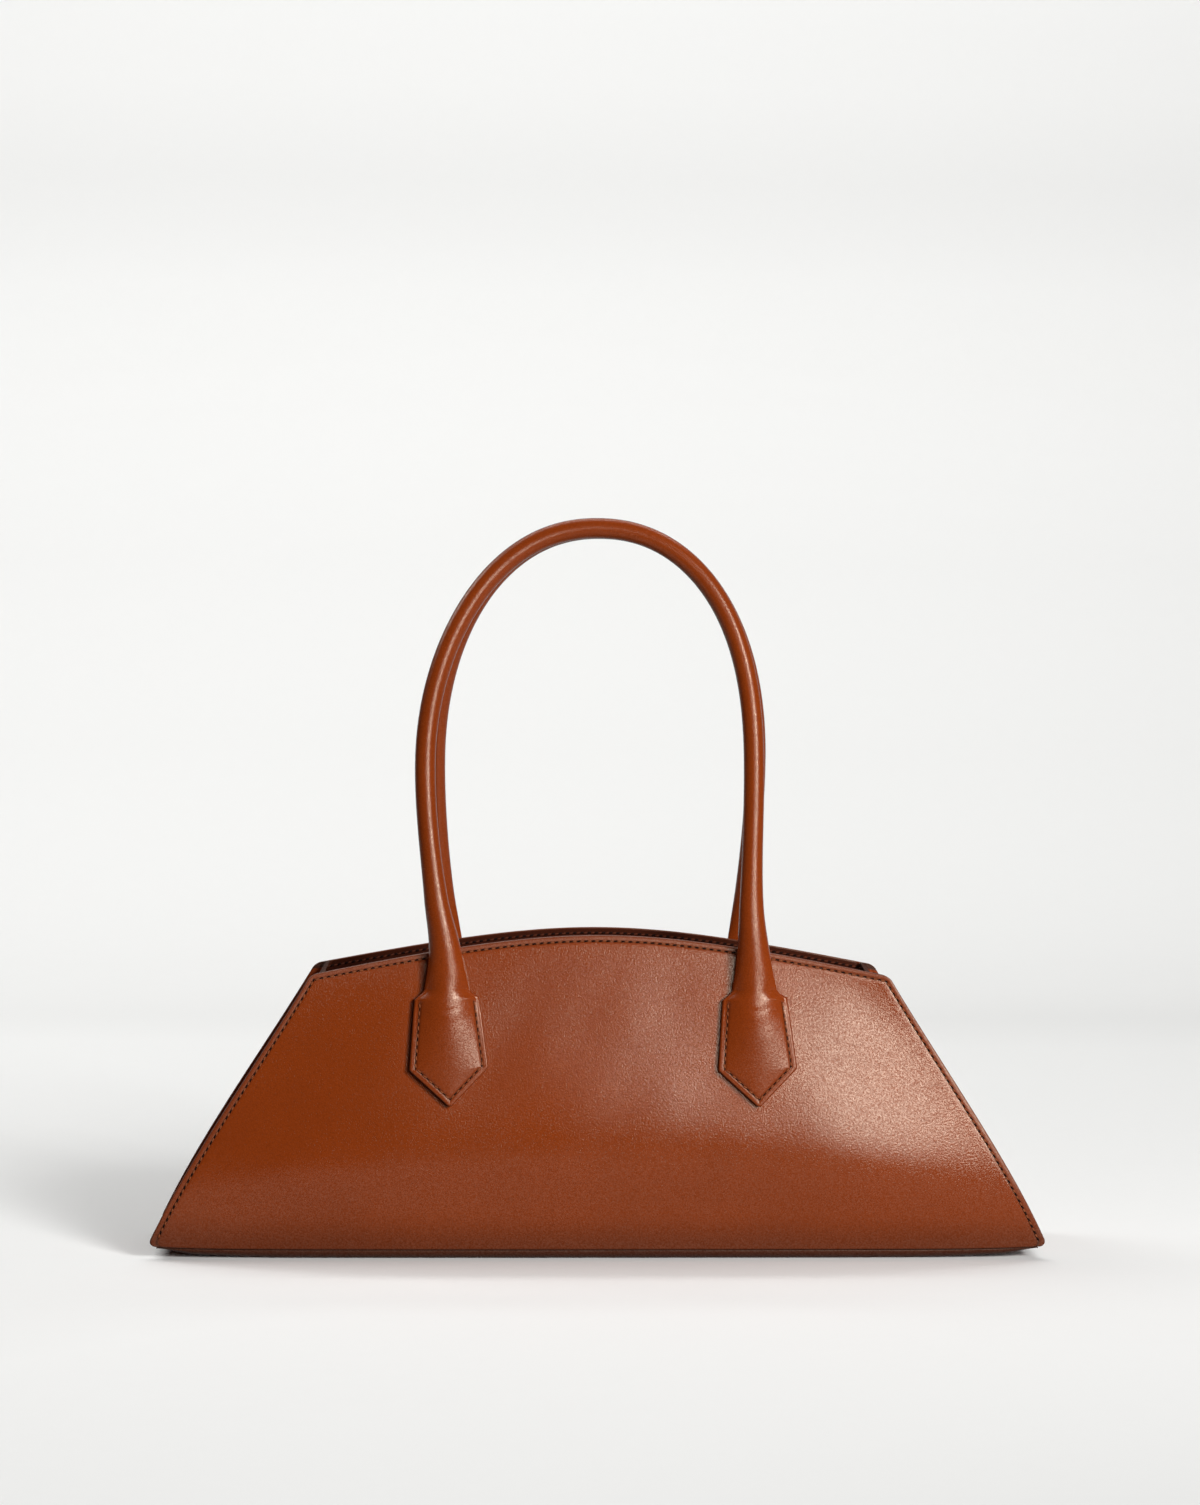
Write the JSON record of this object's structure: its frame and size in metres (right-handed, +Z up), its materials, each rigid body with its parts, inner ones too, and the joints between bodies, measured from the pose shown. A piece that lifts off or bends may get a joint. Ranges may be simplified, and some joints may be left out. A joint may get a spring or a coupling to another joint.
{
  "type": "baguette bag",
  "caption": "Long low leather handbag: trapezoid panels with a crowned open mouth, recessed end gussets, a rolled base, and tall rolled handles on pointed sewn tabs that swing down.",
  "frame": {"origin": "on the floor under the middle of the base", "axes": "+X along the bag, +Y from the front panel to the back panel, +Z up"},
  "size_m": [0.3994, 0.0846, 0.3309],
  "materials": {
    "tan_leather": "smooth semi-gloss leather with dark painted edges",
    "inner_leather": "matt leather facing inside the mouth",
    "lining_cloth": "woven lining cloth",
    "leather_board": "bonded leather board, hidden",
    "handle_cord": "cotton cord, hidden",
    "snap_metal": "satin"
  },
  "bodies": {
    "bag": {"front_panel": "tan_leather", "front_stiffener": "leather_board", "front_lining": "lining_cloth", "front_facing": "inner_leather", "front_left_tab": "tan_leather", "front_left_tab_backing": "tan_leather", "front_right_tab": "tan_leather", "front_right_tab_backing": "tan_leather", "back_panel": "tan_leather", "back_stiffener": "leather_board", "back_lining": "lining_cloth", "back_facing": "inner_leather", "back_left_tab": "tan_leather", "back_left_tab_backing": "tan_leather", "back_right_tab": "tan_leather", "back_right_tab_backing": "tan_leather", "snap_socket": "snap_metal", "snap_stud": "snap_metal", "left_gusset": "tan_leather", "right_gusset": "tan_leather", "left_lining": "lining_cloth", "right_lining": "lining_cloth", "base_panel": "tan_leather", "base_board": "leather_board", "base_lining": "lining_cloth"},
    "front_handle": {"front_handle_wrap": "tan_leather", "front_handle_core": "handle_cord"},
    "back_handle": {"back_handle_wrap": "tan_leather", "back_handle_core": "handle_cord"}
  },
  "joints": [
    {"name": "front_handle_swing", "type": "hinge", "parent": "bag", "child": "front_handle", "pos_m": [0, -0.0407, 0.121], "axis": [1, 0, 0], "range_deg": [0, 130]},
    {"name": "back_handle_swing", "type": "hinge", "parent": "bag", "child": "back_handle", "pos_m": [0, 0.0407, 0.121], "axis": [-1, 0, 0], "range_deg": [0, 130]}
  ]
}
